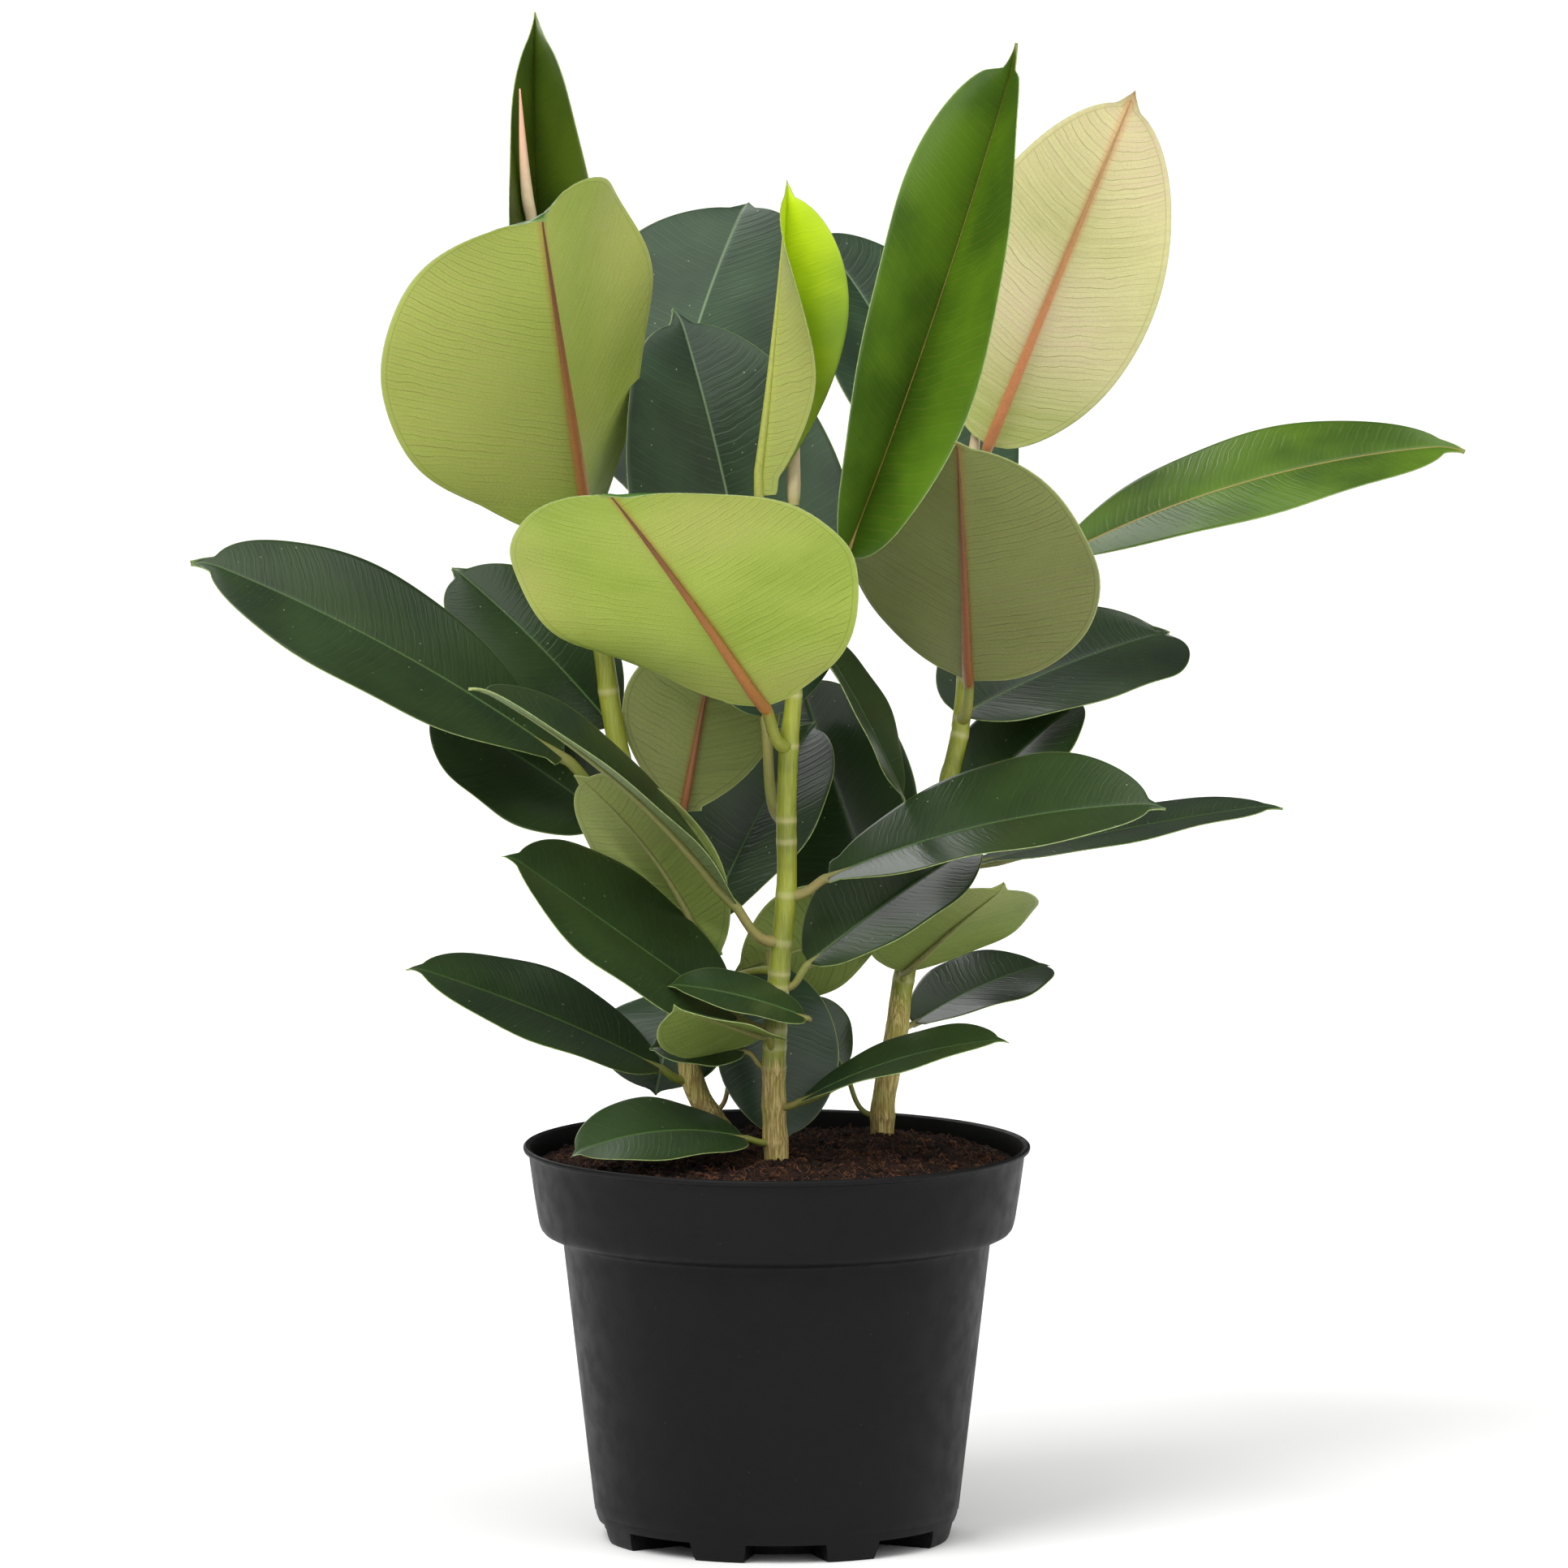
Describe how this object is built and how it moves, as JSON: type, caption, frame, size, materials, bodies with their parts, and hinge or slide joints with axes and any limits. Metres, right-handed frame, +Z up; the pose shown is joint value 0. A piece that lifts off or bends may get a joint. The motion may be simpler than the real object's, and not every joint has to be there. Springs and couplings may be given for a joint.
{
  "type": "potted rubber plant",
  "caption": "Indoor rubber plant with broad leathery dark green leaves on upright stems, rooted in a round black nursery pot with a wide collar.",
  "frame": {"origin": "centre of the pot's underside, on the surface that the pot stands on", "axes": "+Z up, -Y towards the front that the picture shows, +X to the right of that view"},
  "size_m": [0.5302, 0.3694, 0.6291],
  "materials": {
    "leaf_front_01": "glossy leathery leaf, very dark green above and yellow-green below",
    "leaf_front_02": "glossy leathery leaf, very dark green above and yellow-green below",
    "leaf_front_03": "glossy leathery leaf, very dark green above and yellow-green below",
    "leaf_front_04": "glossy leathery leaf, very dark green above and yellow-green below",
    "leaf_front_05": "glossy leathery leaf, very dark green above and yellow-green below",
    "leaf_front_06": "glossy leathery leaf, very dark green above and yellow-green below",
    "leaf_front_07": "glossy leathery leaf, very dark green above and yellow-green below",
    "leaf_front_08": "glossy leathery leaf, very dark green above and yellow-green below",
    "leaf_front_09": "glossy leathery leaf, very dark green above and yellow-green below",
    "leaf_front_10": "glossy leathery leaf, very dark green above and yellow-green below",
    "leaf_front_11": "glossy leathery leaf, very dark green above and yellow-green below",
    "leaf_front_12": "glossy leathery leaf, very dark green above and yellow-green below",
    "leaf_front_13": "glossy leathery leaf, very dark green above and yellow-green below",
    "leaf_front_14": "glossy leathery leaf, very dark green above and yellow-green below",
    "leaf_front_15": "glossy young leaf, bright green",
    "leaf_front_16": "glossy young leaf, bright green",
    "leaf_left_01": "glossy leathery leaf, very dark green above and yellow-green below",
    "leaf_left_02": "glossy leathery leaf, very dark green above and yellow-green below",
    "leaf_left_03": "glossy leathery leaf, very dark green above and yellow-green below",
    "leaf_left_04": "glossy leathery leaf, very dark green above and yellow-green below",
    "leaf_left_05": "glossy leathery leaf, very dark green above and yellow-green below",
    "leaf_left_06": "glossy leathery leaf, very dark green above and yellow-green below",
    "leaf_left_07": "glossy leathery leaf, very dark green above and yellow-green below",
    "leaf_left_08": "glossy leathery leaf, very dark green above and yellow-green below",
    "leaf_left_09": "glossy leathery leaf, very dark green above and yellow-green below",
    "leaf_left_10": "glossy leathery leaf, very dark green above and yellow-green below",
    "leaf_left_11": "glossy leathery leaf, very dark green above and yellow-green below",
    "leaf_right_01": "glossy leathery leaf, very dark green above and yellow-green below",
    "leaf_right_02": "glossy leathery leaf, very dark green above and yellow-green below",
    "leaf_right_03": "glossy leathery leaf, very dark green above and yellow-green below",
    "leaf_right_04": "glossy leathery leaf, very dark green above and yellow-green below",
    "leaf_right_05": "glossy leathery leaf, very dark green above and yellow-green below",
    "leaf_right_06": "glossy leathery leaf, very dark green above and yellow-green below",
    "leaf_right_07": "glossy leathery leaf, very dark green above and yellow-green below",
    "leaf_right_08": "glossy leathery leaf, very dark green above and yellow-green below",
    "leaf_right_09": "glossy leathery leaf, very dark green above and yellow-green below",
    "leaf_right_10": "glossy young leaf, bright green",
    "leaf_right_11": "glossy leathery leaf, very dark green above and yellow-green below",
    "leaf_right_12": "glossy young leaf, bright green",
    "pot": "matte black moulded plastic",
    "sheath_front": "smooth cream bud sheath flushed pink",
    "sheath_left": "smooth cream bud sheath flushed pink",
    "sheath_right": "smooth cream bud sheath flushed pink",
    "soil": "dark brown fibrous peat, matt",
    "stem_front": "tan striped bark at the foot, smooth yellow-green above",
    "stem_left": "tan striped bark at the foot, smooth yellow-green above",
    "stem_right": "tan striped bark at the foot, smooth yellow-green above"
  },
  "bodies": {
    "root": {"leaf_front_01": "leaf_front_01", "leaf_front_02": "leaf_front_02", "leaf_front_03": "leaf_front_03", "leaf_front_04": "leaf_front_04", "leaf_front_05": "leaf_front_05", "leaf_front_06": "leaf_front_06", "leaf_front_07": "leaf_front_07", "leaf_front_08": "leaf_front_08", "leaf_front_09": "leaf_front_09", "leaf_front_10": "leaf_front_10", "leaf_front_11": "leaf_front_11", "leaf_front_12": "leaf_front_12", "leaf_front_13": "leaf_front_13", "leaf_front_14": "leaf_front_14", "leaf_front_15": "leaf_front_15", "leaf_front_16": "leaf_front_16", "leaf_left_01": "leaf_left_01", "leaf_left_02": "leaf_left_02", "leaf_left_03": "leaf_left_03", "leaf_left_04": "leaf_left_04", "leaf_left_05": "leaf_left_05", "leaf_left_06": "leaf_left_06", "leaf_left_07": "leaf_left_07", "leaf_left_08": "leaf_left_08", "leaf_left_09": "leaf_left_09", "leaf_left_10": "leaf_left_10", "leaf_left_11": "leaf_left_11", "leaf_right_01": "leaf_right_01", "leaf_right_02": "leaf_right_02", "leaf_right_03": "leaf_right_03", "leaf_right_04": "leaf_right_04", "leaf_right_05": "leaf_right_05", "leaf_right_06": "leaf_right_06", "leaf_right_07": "leaf_right_07", "leaf_right_08": "leaf_right_08", "leaf_right_09": "leaf_right_09", "leaf_right_10": "leaf_right_10", "leaf_right_11": "leaf_right_11", "leaf_right_12": "leaf_right_12", "pot": "pot", "sheath_front": "sheath_front", "sheath_left": "sheath_left", "sheath_right": "sheath_right", "soil": "soil", "stem_front": "stem_front", "stem_left": "stem_left", "stem_right": "stem_right"}
  },
  "joints": []
}
